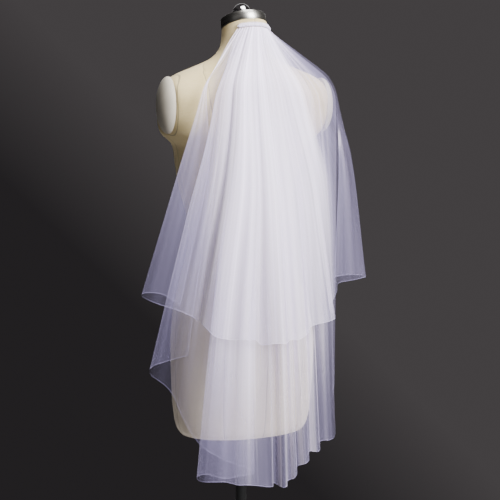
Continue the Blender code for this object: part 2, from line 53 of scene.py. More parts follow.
class Wire:
    """One number, colour or vector in a material, which adds and multiplies like a number."""

    def __init__(self, finish, socket):
        self.finish = finish
        self.socket = socket

    def maths(self, operation, *values):
        return self.finish.node("ShaderNodeMath", {"operation": operation}, dict(enumerate(values)))

    def __add__(self, other):
        return self.maths("ADD", self, other)

    def __sub__(self, other):
        return self.maths("SUBTRACT", self, other)

    def __rsub__(self, other):
        return self.maths("SUBTRACT", other, self)

    def __mul__(self, other):
        return self.maths("MULTIPLY", self, other)

    def __truediv__(self, other):
        return self.maths("DIVIDE", self, other)

    def __rtruediv__(self, other):
        return self.maths("DIVIDE", other, self)

    def __pow__(self, other):
        return self.maths("POWER", self, other)

    def __rpow__(self, other):
        return self.maths("POWER", other, self)

    __radd__ = __add__
    __rmul__ = __mul__

    def wave(self):
        return self.maths("SINE", self)

    def size(self):
        return self.maths("ABSOLUTE", self)

    def at_least(self, low):
        return self.maths("MAXIMUM", self, low)

    def at_most(self, high):
        return self.maths("MINIMUM", self, high)

    def rise(self, start, end):
        """0 below start, 1 above end, and a soft step between."""
        span = {"From Min": start, "From Max": end, "Value": self}
        smooth = {"interpolation_type": "SMOOTHSTEP", "clamp": True}
        return self.finish.node("ShaderNodeMapRange", smooth, span)


class Finish:
    """One material and its nodes."""

    def __init__(self, name):
        self.material = bpy.data.materials.new(name)
        self.material.use_nodes = True
        self.tree = self.material.node_tree
        self.shader = self.tree.nodes["Principled BSDF"]

    def node(self, kind, settings, sockets, output=0):
        made = self.tree.nodes.new(kind)
        for name, value in settings.items():
            if name == "stops":
                ramp = made.color_ramp.elements
                while len(ramp) < len(value):
                    ramp.new(0.5)
                for stop, (place, shade) in zip(ramp, value):
                    stop.position = place
                    stop.color = (*shade, 1)
            else:
                setattr(made, name, value)
        self.plug(made, sockets)
        return Wire(self, made.outputs[output])

    def plug(self, made, sockets):
        for name, value in sockets.items():
            if isinstance(value, Wire):
                self.tree.links.new(value.socket, made.inputs[name])
            else:
                made.inputs[name].default_value = value

    def surface(self, **sockets):
        self.plug(self.shader, {name.replace("_", " "): value for name, value in sockets.items()})
        return self.material

    def place(self):
        return self.node("ShaderNodeTexCoord", {}, {}, "Object")

    def cloth_place(self):
        return self.node("ShaderNodeUVMap", {}, {})

    def parts(self, vector):
        split = self.tree.nodes.new("ShaderNodeSeparateXYZ")
        self.plug(split, {0: vector})
        return [Wire(self, split.outputs[k]) for k in range(3)]

    def joined(self, x, y, z):
        return self.node("ShaderNodeCombineXYZ", {}, {0: x, 1: y, 2: z})

    def grain(self, vector, scale, detail=2.0, roughness=0.5):
        sockets = {"Vector": vector, "Scale": scale, "Detail": detail, "Roughness": roughness}
        return self.node("ShaderNodeTexNoise", {}, sockets)

    def blend(self, share, low, high):
        sockets = {"Factor": share}
        shades = {"A": low, "B": high}
        made = self.tree.nodes.new("ShaderNodeMix")
        made.data_type = "RGBA"
        for socket in made.inputs:
            if socket.enabled and socket.name in shades:
                value = shades[socket.name]
                if isinstance(value, Wire):
                    self.tree.links.new(value.socket, socket)
                else:
                    socket.default_value = (*value, 1)
        self.plug(made, sockets)
        return Wire(self, next(socket for socket in made.outputs if socket.enabled))

    def relief(self, height, distance, strength=1.0):
        sockets = {"Height": height, "Distance": distance, "Strength": strength}
        return self.node("ShaderNodeBump", {}, sockets)


def mesh_piece(name, points, faces, cloth=None):
    """A smooth mesh piece. Cloth holds each point's place on the flat cloth, in metres."""
    mesh = bpy.data.meshes.new(name)
    mesh.from_pydata([tuple(point) for point in points], [], faces)
    mesh.shade_smooth()
    if cloth is not None:
        layer = mesh.uv_layers.new(name="flat_cloth")
        corners = np.array([loop.vertex_index for loop in mesh.loops])
        layer.data.foreach_set("uv", np.asarray(cloth, np.float32)[corners].ravel())
    piece = bpy.data.objects.new(name, mesh)
    bpy.context.scene.collection.objects.link(piece)
    return piece


def finished(piece, material, slot, *nodes):
    piece.data.materials.clear()
    piece.data.materials.append(material)
    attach(piece, "root")
    if nodes:
        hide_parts(*nodes)
    return piece


def turned(name, profile, steps, placed=Matrix.Identity(4)):
    """A lathe-turned piece. The profile's (radius, height) pairs run down its outer side."""
    turns = [2 * pi * k / steps for k in range(steps)]
    points = [Vector((0, 0, profile[0][1]))]
    for radius, height in profile:
        points += [Vector((radius * cos(turn), radius * sin(turn), height)) for turn in turns]
    points.append(Vector((0, 0, profile[-1][1])))
    faces = []
    last = len(points) - 1
    for k in range(steps):
        n = (k + 1) % steps
        faces.append((0, 1 + k, 1 + n))
        for row in range(len(profile) - 1):
            high, low = 1 + row * steps, 1 + (row + 1) * steps
            faces.append((high + k, low + k, low + n, high + n))
        faces.append((last, last - steps + n, last - steps + k))
    piece = mesh_piece(name, [placed @ point for point in points], faces)
    piece.data.set_sharp_from_angle(angle=radians(50))
    return piece


def powder_coat():
    finish = Finish("black_powder_coat")
    place = finish.place()
    peel = finish.grain(place, 900, 1)
    dust = finish.grain(place, 14, 5, 0.6)
    return finish.surface(
        Base_Color=finish.blend(dust, (0.004, 0.004, 0.005), (0.010, 0.010, 0.010)),
        Roughness=0.42 + 0.2 * dust,
        Specular_IOR_Level=0.15,
        Normal=finish.relief(peel, 0.0001, 0.5),
    )


black = powder_coat()
flange_low = FORM_BOTTOM - GAP - 0.006
foot = turned("foot", [(r * MM, z * MM) for r, z in FOOT_PROFILE], 128)
pole = turned("pole_tube", [(POLE_RADIUS * MM, flange_low - GAP), (POLE_RADIUS * MM, 0.038 + GAP)], 64)
flange = turned("flange", [(r * MM, flange_low + z * MM) for r, z in FLANGE_PROFILE], 96)
finished(foot, black, "black_steel", "stand_foot")
finished(pole, black, "black_steel", "pole")
finished(flange, black, "black_steel", "pole_flange")

# Padded torso of the dress form, covered in beige linen cut in eight panels.
# The panels are sewn together, so a fine dark line lies in a shallow valley along each seam.
NECK_TOP = 1.428
NECK_RADIUS = 0.049
NECK_BACK = 0.015
NECK_SLANT = 0.35
SLANT_START = 1.378
ARMHOLE_PLANE = 0.182
PANEL_COLUMNS = 18
RING_STEP = 0.007

# Horizontal sections of the form, in millimetres. Square is the superellipse's power.
Section = namedtuple("Section", "height half_width front back square")
FORM_SECTIONS = [
    Section(546, 141, 96, 103, 2.2),
    Section(558, 149, 103, 110, 2.2),
    Section(582, 155, 108, 115, 2.2),
    Section(656, 161, 112, 122, 2.2),
    Section(736, 163, 114, 128, 2.2),
    Section(806, 157, 113, 118, 2.2),
    Section(876, 139, 106, 92, 2.2),
    Section(936, 120, 97, 70, 2.2),
    Section(976, 113, 92, 64, 2.2),
    Section(1026, 118, 97, 68, 2.2),
    Section(1086, 132, 118, 80, 2.2),
    Section(1136, 141, 124, 92, 2.2),
    Section(1176, 152, 114, 100, 2.2),
    Section(1204, 184, 104, 107, 2.3),
    Section(1236, 197, 92, 110, 2.4),
    Section(1271, 201, 76, 108, 2.4),
    Section(1296, 197, 62, 101, 2.3),
    Section(1312, 186, 50, 89, 2.2),
    Section(1326, 164, 41, 77, 2.2),
    Section(1338, 134, 36, 68, 2.2),
    Section(1350, 102, 33, 63, 2.1),
    Section(1362, 77, 31, 61, 2.0),
    Section(1378, 60, 30, 62.5, 2.0),
    Section(1396, 52, 33, 63, 2.0),
    Section(1416, 49.5, 34, 64, 2.0),
    Section(1428, 49, 34, 64, 2.0),
]

# Where the seams of one half run: turns round each section from the side, + towards the back, in degrees.
SeamPlace = namedtuple("SeamPlace", "height princess_back side princess_front")
SEAMS = [
    SeamPlace(546, 56, 0, -56),
    SeamPlace(806, 57, 0, -55),
    SeamPlace(976, 60, 0, -58),
    SeamPlace(1136, 60, 0, -52),
    SeamPlace(1236, 59, 0, -50),
    SeamPlace(1296, 56, 0, -47),
    SeamPlace(1320, 50, -3, -44),
    SeamPlace(1338, 36, -10, -38),
    SeamPlace(1350, 10, -22, -32),
    SeamPlace(1370, 12, -10, -26),
    SeamPlace(1428, 20, 0, -20),
]
PRINCESS_TOP = 1.351
PLATE_CENTRE = (0.026, 1.262)
ARMHOLE_HALF_WIDTH = 0.0395
ARMHOLE_HALF_HEIGHT = 0.0635
SIDE_SEAM_TOP = 1.192


def smooth_columns(heights, values, at):
    """Values read off a smooth curve through (heights, values), flat at its ends and with no overshoot."""
    heights, values = np.array(heights, float), np.array(values, float)
    steps = np.diff(heights)
    slopes = np.diff(values) / steps
    tangents = np.zeros(len(values))
    inner = slopes[:-1] * slopes[1:] > 0
    weight_a, weight_b = 2 * steps[1:] + steps[:-1], steps[1:] + 2 * steps[:-1]
    safe_a, safe_b = np.where(inner, slopes[:-1], 1), np.where(inner, slopes[1:], 1)
    harmonic = (weight_a + weight_b) / (weight_a / safe_a + weight_b / safe_b)
    tangents[1:-1] = np.where(inner, harmonic, 0)
    tangents[0], tangents[-1] = slopes[0], slopes[-1]
    k = np.clip(np.searchsorted(heights, at, side="right") - 1, 0, len(steps) - 1)
    t = (np.asarray(at, float) - heights[k]) / steps[k]
    return (
        values[k] * (1 + 2 * t) * (1 - t) ** 2
        + tangents[k] * steps[k] * t * (1 - t) ** 2
        + values[k + 1] * t * t * (3 - 2 * t)
        + tangents[k + 1] * steps[k] * t * t * (t - 1)
    )


def read_rows(rows, by, column, at):
    """One named column of a table in millimetres, read smoothly by another."""
    places, values = zip(*[(getattr(row, by), getattr(row, column)) for row in rows])
    return smooth_columns(places, values, at)


def form_section(height):
    """Half width, half depth, middle (towards the back) and squareness of the form at a height, in metres."""
    level = np.asarray(height) / MM
    front = read_rows(FORM_SECTIONS, "height", "front", level) * MM
    back = read_rows(FORM_SECTIONS, "height", "back", level) * MM
    half_width = read_rows(FORM_SECTIONS, "height", "half_width", level) * MM
    square = read_rows(FORM_SECTIONS, "height", "square", level)
    return half_width, (front + back) / 2, (back - front) / 2, square


def seam_turns(level):
    """The eight seams' turns round a section, from the centre front through the form's left side."""
    turns = [np.interp(level / MM, [row.height for row in SEAMS], [getattr(row, name) for row in SEAMS])
             for name in ("princess_front", "side", "princess_back")]
    half = [-90, *turns]
    return np.radians([*half, 90, *[180 - turn for turn in reversed(turns)], 270])


def torso_ring(level):
    """One ring of the torso, with points on every seam, and each point's distance from the nearest seam."""
    half_width, half_depth, middle, square = form_section(level)
    slant = NECK_SLANT * max(0.0, (level - SLANT_START) / (NECK_TOP - SLANT_START))
    turns = seam_turns(level)
    ring, columns = [], []
    for panel, (start, end) in enumerate(zip(turns, turns[1:])):
        for k in range(PANEL_COLUMNS):
            a = start + (end - start) * k / PANEL_COLUMNS
            across = abs(cos(a)) ** (2 / square) * (1 if cos(a) >= 0 else -1) * half_width
            along = abs(sin(a)) ** (2 / square) * (1 if sin(a) >= 0 else -1) * half_depth + middle
            across = max(-ARMHOLE_PLANE, min(ARMHOLE_PLANE, across))
            ring.append((across, along, level + slant * (along - NECK_BACK)))
            columns.append((panel, k))
    ring = np.array(ring)
    away = np.full(len(ring), 1.0)
    for panel in range(8):
        shown = panel in (0, 4) or level < (SIDE_SEAM_TOP if panel in (2, 6) else PRINCESS_TOP)
        if shown:
            at = ring[panel * PANEL_COLUMNS]
            away = np.minimum(away, np.linalg.norm(ring - at, axis=1))
    return ring, away


def torso_piece():
    levels = [FORM_BOTTOM, *np.linspace(FORM_BOTTOM + 0.002, 0.580, 14)]
    levels += list(np.linspace(0.587, NECK_TOP, int((NECK_TOP - 0.587) / RING_STEP)))
    rings, aways = zip(*[torso_ring(level) for level in levels])
    points, count = np.vstack(rings), 8 * PANEL_COLUMNS
    faces = []
    for row in range(len(levels) - 1):
        for k in range(count):
            n = (k + 1) % count
            faces.append((row * count + k, row * count + n, (row + 1) * count + n, (row + 1) * count + k))
    faces.append(tuple(range(count))[::-1])
    faces.append(tuple(range((len(levels) - 1) * count, len(levels) * count)))
    turns = np.tile(np.arange(count) / count, len(levels))
    piece = mesh_piece("torso", points, faces, np.column_stack([turns, points[:, 2]]))
    seam = piece.data.attributes.new("from_seam", "FLOAT", "POINT")
    seam.data.foreach_set("value", np.concatenate(aways).astype(np.float32))
    piece.data.set_sharp_from_angle(angle=radians(50))
    return piece


def linen():
    finish = Finish("form_linen")
    place = finish.place()
    x, y, z = finish.parts(place)
    seam = finish.node("ShaderNodeAttribute", {"attribute_name": "from_seam"}, {}, "Fac")
    panel_line = 1 - seam.rise(0.0003, 0.0012)
    along, up = (y - PLATE_CENTRE[0]) / ARMHOLE_HALF_WIDTH, (z - PLATE_CENTRE[1]) / ARMHOLE_HALF_HEIGHT
    around = (along**2 + up**2) ** 0.5
    off_line = ((around - 1).size() * ARMHOLE_HALF_WIDTH).rise(0.0003, 0.0010)
    armhole_line = (1 - off_line) * x.size().rise(0.150, 0.156)
    line = panel_line.at_least(armhole_line)
    valley = seam.rise(0.0, 0.006)
    weft = finish.grain(finish.joined(x * 60, y * 60, z * 1500), 1, 2)
    warp = finish.grain(finish.joined(x * 1500, y * 1500, z * 60), 1, 2)
    soil_and_shade_noise = finish.grain(place, 6, 4, 0.6)
    thread = weft * 0.5 + warp * 0.5
    linen_tone = finish.blend(soil_and_shade_noise.rise(0.3, 0.75), (0.55, 0.435, 0.20), (0.62, 0.495, 0.255))
    # Painted shade: below the waist the linen is blended towards a greyer pink, standing in for the veil's
    # shadow and the light falling off down the form. The same noise that varies the linen's tone makes the
    # shade's edge wander.
    shaded_linen = finish.blend((z + soil_and_shade_noise * 0.1).rise(1.16, 0.98) * 0.85, linen_tone, (0.51, 0.44, 0.40))
    woven = finish.blend(thread.rise(0.35, 0.65) * 0.2, shaded_linen, (0.80, 0.70, 0.50))
    height = thread * 0.00012 + valley * 0.0006
    return finish.surface(
        Base_Color=finish.blend(line * 0.6, woven, (0.12, 0.10, 0.07)),
        Roughness=0.82 + 0.12 * thread,
        Normal=finish.relief(height, 1.0, 0.8),
        Sheen_Weight=0.15,
    )


torso = torso_piece()
finished(torso, linen(), "linen", "form_torso")

# Arm plates: domed ovals that close the armholes.
# Stiff board under smooth light grey cloth, set against the torso with a thin dark joint.
PLATE_HALF_WIDTH = 0.036
PLATE_HALF_HEIGHT = 0.060
PLATE_BULGE = 0.026
PLATE_RIM = 0.003


def plate_piece(side):
    turns = [pi / 2 * k / 30 for k in range(1, 30)]
    profile = [(sin(turn), PLATE_RIM + (PLATE_BULGE - PLATE_RIM) * cos(turn)) for turn in turns]
    profile += [(1, PLATE_RIM), (0.995, 0.0006), (0.985, 0)]
    scale = Matrix.Diagonal((PLATE_HALF_WIDTH, PLATE_HALF_HEIGHT, 1, 1))
    turn = Matrix.Rotation(side * pi / 2, 4, "Y") @ Matrix.Rotation(side * pi / 2, 4, "Z")
    move = Matrix.Translation((side * (ARMHOLE_PLANE + GAP), *PLATE_CENTRE))
    return turned("armhole_plate_" + ("left" if side > 0 else "right"), profile, 96, move @ turn @ scale)


def plate_cloth():
    finish = Finish("plate_cloth")
    place = finish.place()
    _, y, z = finish.parts(place)
    weave = (y * 7000).wave() * 0.25 + (z * 7000).wave() * 0.25 + 0.5
    rub = finish.grain(place, 18, 4, 0.6)
    return finish.surface(
        Base_Color=finish.blend(rub.rise(0.3, 0.7), (0.38, 0.345, 0.28), (0.44, 0.40, 0.33)),
        Roughness=0.62 + 0.15 * rub,
        Normal=finish.relief(weave, 0.00008, 0.6),
        Sheen_Weight=0.1,
    )


grey_cloth = plate_cloth()
for side, node in ((1, "arm_plate_left"), (-1, "arm_plate_right")):
    finished(plate_piece(side), grey_cloth, "plate_cloth", node)

# Neck cap: a turned steel band with a closed top, pressed on the neck.
# It is brushed round its side, so highlights stretch up and down it.
CAP_RADIUS = 49.2
CAP_HEIGHT = 22
CAP_EDGE = 2


def neck_frame(lift):
    """Placement on the neck's slanted top face, lifted along its normal."""
    tilt = Matrix.Rotation(np.arctan(NECK_SLANT), 4, "X")
    return Matrix.Translation((0, NECK_BACK, NECK_TOP)) @ tilt @ Matrix.Translation((0, 0, lift))


def cap_piece():
    turns = [radians(a) for a in range(0, 91, 15)]
    edge = [(CAP_RADIUS - CAP_EDGE * (1 - sin(a)), CAP_HEIGHT - CAP_EDGE * (1 - cos(a))) for a in turns]
    profile = [(40, CAP_HEIGHT), *edge, (CAP_RADIUS, 0.6), (CAP_RADIUS - 0.6, 0)]
    return turned("cap", [(r * MM, z * MM) for r, z in profile], 128, neck_frame(GAP))


def brushed_steel():
    finish = Finish("brushed_steel")
    place = finish.place()
    x, y, z = finish.parts(place)
    level = z * 0.944 - y * 0.33
    brush = finish.grain(finish.joined(x * 8, y * 8, level * 2600), 1, 3)
    smear = finish.grain(place, 9, 2)
    return finish.surface(
        Base_Color=finish.blend(brush, (0.20, 0.193, 0.18), (0.40, 0.388, 0.36)),
        Metallic=1.0,
        Roughness=0.2 + 0.1 * brush + 0.06 * smear,
        Anisotropic=0.4,
        Normal=finish.relief(brush, 0.00006, 0.5),
    )


finished(cap_piece(), brushed_steel(), "brushed_steel", "neck_cap")

# Ball knob, screwed down on the cap by its flat seat.
# Polished and chromed, with faint finger marks.
KNOB_RADIUS = 19
KNOB_CENTRE = 12.5


def knob_piece():
    seat = np.arccos(-KNOB_CENTRE / KNOB_RADIUS)
    turns = [seat * k / 40 for k in range(1, 41)]
    profile = [(KNOB_RADIUS * sin(a) * MM, (KNOB_CENTRE + KNOB_RADIUS * cos(a)) * MM) for a in turns]
    return turned("knob", profile, 72, neck_frame(GAP + CAP_HEIGHT * MM + GAP))


def chrome_finish():
    finish = Finish("chrome_plate")
    marks = finish.grain(finish.place(), 60, 4, 0.6)
    return finish.surface(
        Base_Color=finish.blend(marks, (0.60, 0.60, 0.60), (0.78, 0.78, 0.79)),
        Metallic=1.0,
        Roughness=0.07 + 0.14 * marks.rise(0.45, 0.8),
    )


chrome = chrome_finish()
finished(knob_piece(), chrome, "chrome", "neck_knob")

# Hair comb that carries the veil, bent round the back of the neck.
# Chromed spring wire: fifteen teeth point down under the cloth from one spine.
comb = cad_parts["comb"]
comb.data.materials.clear()
comb.data.materials.append(chrome)

# Gathered heading, where both tiers' top edges are drawn up on thread and sewn over the comb.
# A soft roll of white tulle, many layers deep, puckered by its stitches.
GATHER_LEFT = radians(42)
GATHER_RIGHT = radians(-57)
GATHER_TOP = 1.425
GATHER_PLEATS = 18
HEADING_HEIGHT = 0.010
HEADING_THICKNESS = 0.0062
HEADING_PUCKERS = 54
HEADING_LOW = GATHER_TOP + 0.0008
HEADING_INNER = NECK_RADIUS + 0.003 + 4 * GAP


def on_neck(angle, radius, height):
    """A point round the neck, by its angle from the back, following the slant of the neck's top."""
    back = radius * cos(angle)
    return Vector((radius * sin(angle), NECK_BACK + back, height + NECK_SLANT * (back - NECK_RADIUS)))


def heading_piece():
    steps, turns = HEADING_PUCKERS * 8, 20
    points, cloth = [], []
    for k in range(steps + 1):
        share = k / steps
        angle = GATHER_RIGHT + (GATHER_LEFT - GATHER_RIGHT) * share
        pucker = 0.22 * sin(2 * pi * HEADING_PUCKERS * share) + 0.16 * sin(2 * pi * 23 * share + 1)
        close = min(1.0, 0.35 + 12 * min(share, 1 - share))
        for t in range(turns):
            a = 2 * pi * t / turns
            up = 0.5 + 0.5 * (1 + pucker * max(0, sin(a))) * sin(a) * close
            thick = 1 - 0.8 * max(0.0, min(1.0, up)) ** 1.2
            out = 0.03 + thick * (0.47 + (0.47 + 0.5 * pucker * max(0, sin(a + 0.6))) * cos(a) * close)
            level = HEADING_LOW + HEADING_HEIGHT * max(0.0, up)
            points.append(on_neck(angle, HEADING_INNER + HEADING_THICKNESS * out, level))
            cloth.append((share * 1.6, t / turns * 0.03))
    faces = []
    for k in range(steps):
        for t in range(turns):
            n = (t + 1) % turns
            faces.append((k * turns + t, (k + 1) * turns + t, (k + 1) * turns + n, k * turns + n))
    faces.append(tuple(range(turns)))
    faces.append(tuple(range(steps * turns, (steps + 1) * turns))[::-1])
    piece = mesh_piece("heading_roll", points, faces, cloth)
    rounded = bmesh.new()
    rounded.from_mesh(piece.data)
    bmesh.ops.recalc_face_normals(rounded, faces=rounded.faces)
    rounded.to_mesh(piece.data)
    rounded.free()
    return piece


def gathered_tulle():
    finish = Finish("gathered_tulle")
    u, v, _ = finish.parts(finish.cloth_place())
    streak = finish.grain(finish.joined(u * 260, v * 20, 0), 1, 3)
    return finish.surface(
        Base_Color=finish.blend(streak.rise(0.35, 0.65), (0.66, 0.61, 0.84), (0.90, 0.83, 1.0)),
        Roughness=0.75 + 0.1 * streak,
        Alpha=0.55 + 0.4 * streak.rise(0.35, 0.65),
        Normal=finish.relief(streak, 0.0006, 0.8),
        Sheen_Weight=0.3,
    )


heading = heading_piece()
finished(heading, gathered_tulle(), "tulle", "gathered_heading")

# Lower tier of the veil: one wide piece of soft tulle, gathered at its top and cut off round its hem.
# It falls from the neck over the back, and its folds open downwards. Lengths are in millimetres.
Turn = namedtuple("Turn", "left back height")
Line = namedtuple("Line", "share pass_left pass_back lift opens left back height")
Tier = namedtuple("Tier", "name hem sheet neck_radius")
LOWER_TIER = Tier(
    name="lower_tier",
    hem=[
        Turn(182, 95, 740),
        Turn(216, 78, 728),
        Turn(255, 79, 712),
        Turn(228, 119, 677),
        Turn(170, 138, 561),
        Turn(100, 135, 513),
        Turn(38, 154, 486),
        Turn(70, 161, 486),
        Turn(97, 168, 487),
        Turn(122, 172, 487),
        Turn(144, 169, 494),
        Turn(164, 167, 501),
        Turn(184, 170, 501),
        Turn(196, 178, 498),
        Turn(189, 200, 495),
        Turn(172, 211, 495),
        Turn(149, 207, 492),
        Turn(133, 204, 490),
        Turn(124, 220, 485),
        Turn(101, 225, 484),
        Turn(77, 228, 480),
        Turn(52, 227, 474),
        Turn(31, 215, 470),
        Turn(24, 185, 471),
        Turn(7, 183, 466),
        Turn(14, 213, 463),
        Turn(-7, 208, 464),
        Turn(-16, 177, 467),
        Turn(-30, 174, 469),
        Turn(-27, 195, 474),
        Turn(-43, 186, 483),
        Turn(-49, 157, 488),
        Turn(-63, 156, 492),
        Turn(-62, 178, 496),
        Turn(-84, 169, 504),
        Turn(-88, 139, 512),
        Turn(-100, 139, 515),
        Turn(-101, 159, 514),
        Turn(-122, 150, 517),
        Turn(-125, 120, 524),
        Turn(-142, 115, 528),
        Turn(-151, 129, 528),
        Turn(-175, 112, 532),
        Turn(-193, 85, 550),
        Turn(-199, 56, 590),
        Turn(-221, 36, 646),
        Turn(-220, 15, 693),
    ],
    sheet=[
        Line(0, 128, 104, 6, 0, 213, 61, 735),
        Line(0.15, 110, 110, 8, 0, 180, 98, 670),
        Line(0.3, 80, 116, 9, 0, 142, 118, 545),
        Line(0.5, 26, 120, 8, 0, 46, 136, 490),
        Line(0.65, -26, 120, 8, 0, -34, 142, 475),
        Line(0.8, -96, 114, 8, 0.05, -112, 112, 520),
        Line(0.9, -158, 99, 9, 0.12, -182, 84, 548),
        Line(0.95, -199, 72, 9, 0.18, -212, 50, 610),
        Line(1, -219, 26, 8, 0.22, -222, 10, 690),
    ],
    neck_radius=0.0535,
)
COARSE_COLUMNS = 90
FINE = 8
SHEET_LINES = 96
SHEET_ROWS = 120
FOLD_GROWTH = 1.1
UNGATHERED = 0.6
PROFILE_SAMPLES = 96
GATHER_PLEAT_DEPTH = 0.0008
GATHER_PLEAT_REACH = 0.16
FALL_STEPS = 64
EDGE_LINE = 0.0014
EDGE_ROW = 0.0016
EDGE_SAMPLES = 521
# A fold's side that turns away from the smooth sheet shows more net, up to this slope.
STEEPEST = 0.36


def spline_through(points, count):
    """Points evenly spaced along a smooth curve through all the given ones."""
    points = np.array(points, float)
    padded = np.vstack([2 * points[0] - points[1], points, 2 * points[-1] - points[-2]])
    steps = np.sqrt(np.linalg.norm(np.diff(padded, axis=0), axis=1))[:, None]
    slopes = np.diff(padded, axis=0) / steps
    wide = (padded[2:] - padded[:-2]) / (steps[:-1] + steps[1:])
    tangents = slopes[:-1] - wide + slopes[1:]
    fine = []
    for k in range(len(points) - 1):
        start, end, span = points[k], points[k + 1], steps[k + 1]
        for t in np.linspace(0, 1, 16, endpoint=False):
            ends = start * (1 + 2 * t) * (1 - t) ** 2 + end * t * t * (3 - 2 * t)
            pulls = tangents[k] * t * (1 - t) ** 2 + tangents[k + 1] * t * t * (t - 1)
            fine.append(ends + pulls * span)
    fine = np.array(fine + [points[-1]])
    along = np.concatenate([[0], np.cumsum(np.linalg.norm(np.diff(fine, axis=0), axis=1))])
    at = np.linspace(0, along[-1], count)
    return np.stack([np.interp(at, along, fine[:, axis]) for axis in range(3)], axis=1)


LEVELS = np.linspace(FORM_BOTTOM, NECK_TOP, 180)
LEVEL_SECTIONS = form_section(LEVELS)


def form_surface_height(across, along, margin):
    """Height of the top of the form, arm plates included, over a point in plan. Zero where there is none."""
    half_width, half_depth, middle, square = LEVEL_SECTIONS
    width = np.minimum(half_width, ARMHOLE_PLANE) + margin
    sideways = np.abs(across) / (half_width + margin)
    backwards = np.abs(along - middle) / (half_depth + margin)
    inside = sideways**square + backwards**square < 1
    inside &= np.abs(across) < width
    height = LEVELS[inside].max() + margin if inside.any() else 0.0
    out = (abs(across) - ARMHOLE_PLANE) / (PLATE_BULGE + margin)
    side = (along - PLATE_CENTRE[0]) / (PLATE_HALF_WIDTH + margin)
    if -0.5 < out < 1 and out * out + side * side < 1:
        dome = PLATE_CENTRE[1] + (PLATE_HALF_HEIGHT + margin) * sqrt(1 - max(out, 0) ** 2 - side * side)
        height = max(height, dome)
    return height


def taut_fall(start, through, end, lift):
    """The line of the cloth from the neck to its hem, pulled straight over the form like a string."""
    stops = [(start[0], start[1], 0), (through[0], through[1], 0), (end[0], end[1], 0)]
    plan = spline_through(stops, PROFILE_SAMPLES)[:, :2]
    along = np.concatenate([[0], np.cumsum(np.linalg.norm(np.diff(plan, axis=0), axis=1))])
    first = 0.8 * (sqrt(start[0] ** 2 + (start[1] - NECK_BACK) ** 2) - NECK_RADIUS)
    lifts = np.minimum(lift, first + 0.35 * np.linalg.norm(plan - start[:2], axis=1))
    heights = [form_surface_height(*place, gap) for place, gap in zip(plan, lifts)]
    heights[0], heights[-1] = start[2], end[2]
    hull = []
    for s, z in zip(along, heights):
        while len(hull) > 1:
            (s0, z0), (s1, z1) = hull[-2:]
            if (s1 - s0) * (z - z0) - (z1 - z0) * (s - s0) < 0:
                break
            hull.pop()
        hull.append((s, z))
    hull = np.array(hull)
    fall = np.concatenate([[0], np.cumsum(np.linalg.norm(np.diff(hull, axis=0), axis=1))])
    at = np.linspace(0, fall[-1], SHEET_ROWS + 1)
    out, up = np.interp(at, fall, hull[:, 0]), np.interp(at, fall, hull[:, 1])
    return np.column_stack([np.interp(out, along, plan[:, 0]), np.interp(out, along, plan[:, 1]), up])


def softened(values, times):
    """Values averaged with their neighbours along the first axis, with both ends kept."""
    for _ in range(times):
        values = np.concatenate([values[:1], (values[:-2] + 2 * values[1:-1] + values[2:]) / 4, values[-1:]])
    return values


def smooth_sheet(tier):
    """The tier without its folds: points and outward normals on lines of fall, from left to right."""
    lines = []
    for share in np.linspace(0, 1, SHEET_LINES + 1):
        row = Line(*[float(read_rows(tier.sheet, "share", column, share)) for column in Line._fields])
        angle = GATHER_LEFT + (GATHER_RIGHT - GATHER_LEFT) * share
        start = np.array(on_neck(angle, tier.neck_radius, GATHER_TOP))
        end = np.array((row.left, row.back, row.height)) * MM
        lines.append(taut_fall(start, (row.pass_left * MM, row.pass_back * MM), end, row.lift * MM))
    sheet = softened(np.array(lines), 2)
    sheet = softened(sheet.transpose(1, 0, 2), 8).transpose(1, 0, 2)
    normals = np.cross(np.gradient(sheet, axis=1), np.gradient(sheet, axis=0))
    normals = softened(softened(normals, 6).transpose(1, 0, 2), 32).transpose(1, 0, 2)
    return sheet, normals / np.linalg.norm(normals, axis=2, keepdims=True)


def on_sheet(values, share, fall):
    """A sheet's values at shares of the way across and down, carried on straight past its edges."""
    place, row = np.asarray(share * SHEET_LINES), np.asarray(fall * SHEET_ROWS)
    k = np.clip(place, 0, SHEET_LINES - 1).astype(int)
    r = np.clip(row, 0, SHEET_ROWS - 1).astype(int)
    down, over = (row - r)[..., None], (place - k)[..., None]
    left = values[k, r] + (values[k, r + 1] - values[k, r]) * down
    right = values[k + 1, r] + (values[k + 1, r + 1] - values[k + 1, r]) * down
    return left + (right - left) * over


def finer(values, times):
    """A smooth curve through a column of values, with so many steps for each one."""
    padded = np.concatenate([2 * values[:1] - values[1:2], values, 2 * values[-1:] - values[-2:-1]])
    at = np.arange((len(values) - 1) * times + 1) / times
    k = np.minimum(at.astype(int), len(values) - 2)
    t = at - k
    a, b, c, d = (padded[k + n] for n in range(4))
    bend = 2 * a - 5 * b + 4 * c - d + t * (3 * (b - c) + d - a)
    return b + 0.5 * t * (c - a + t * bend)


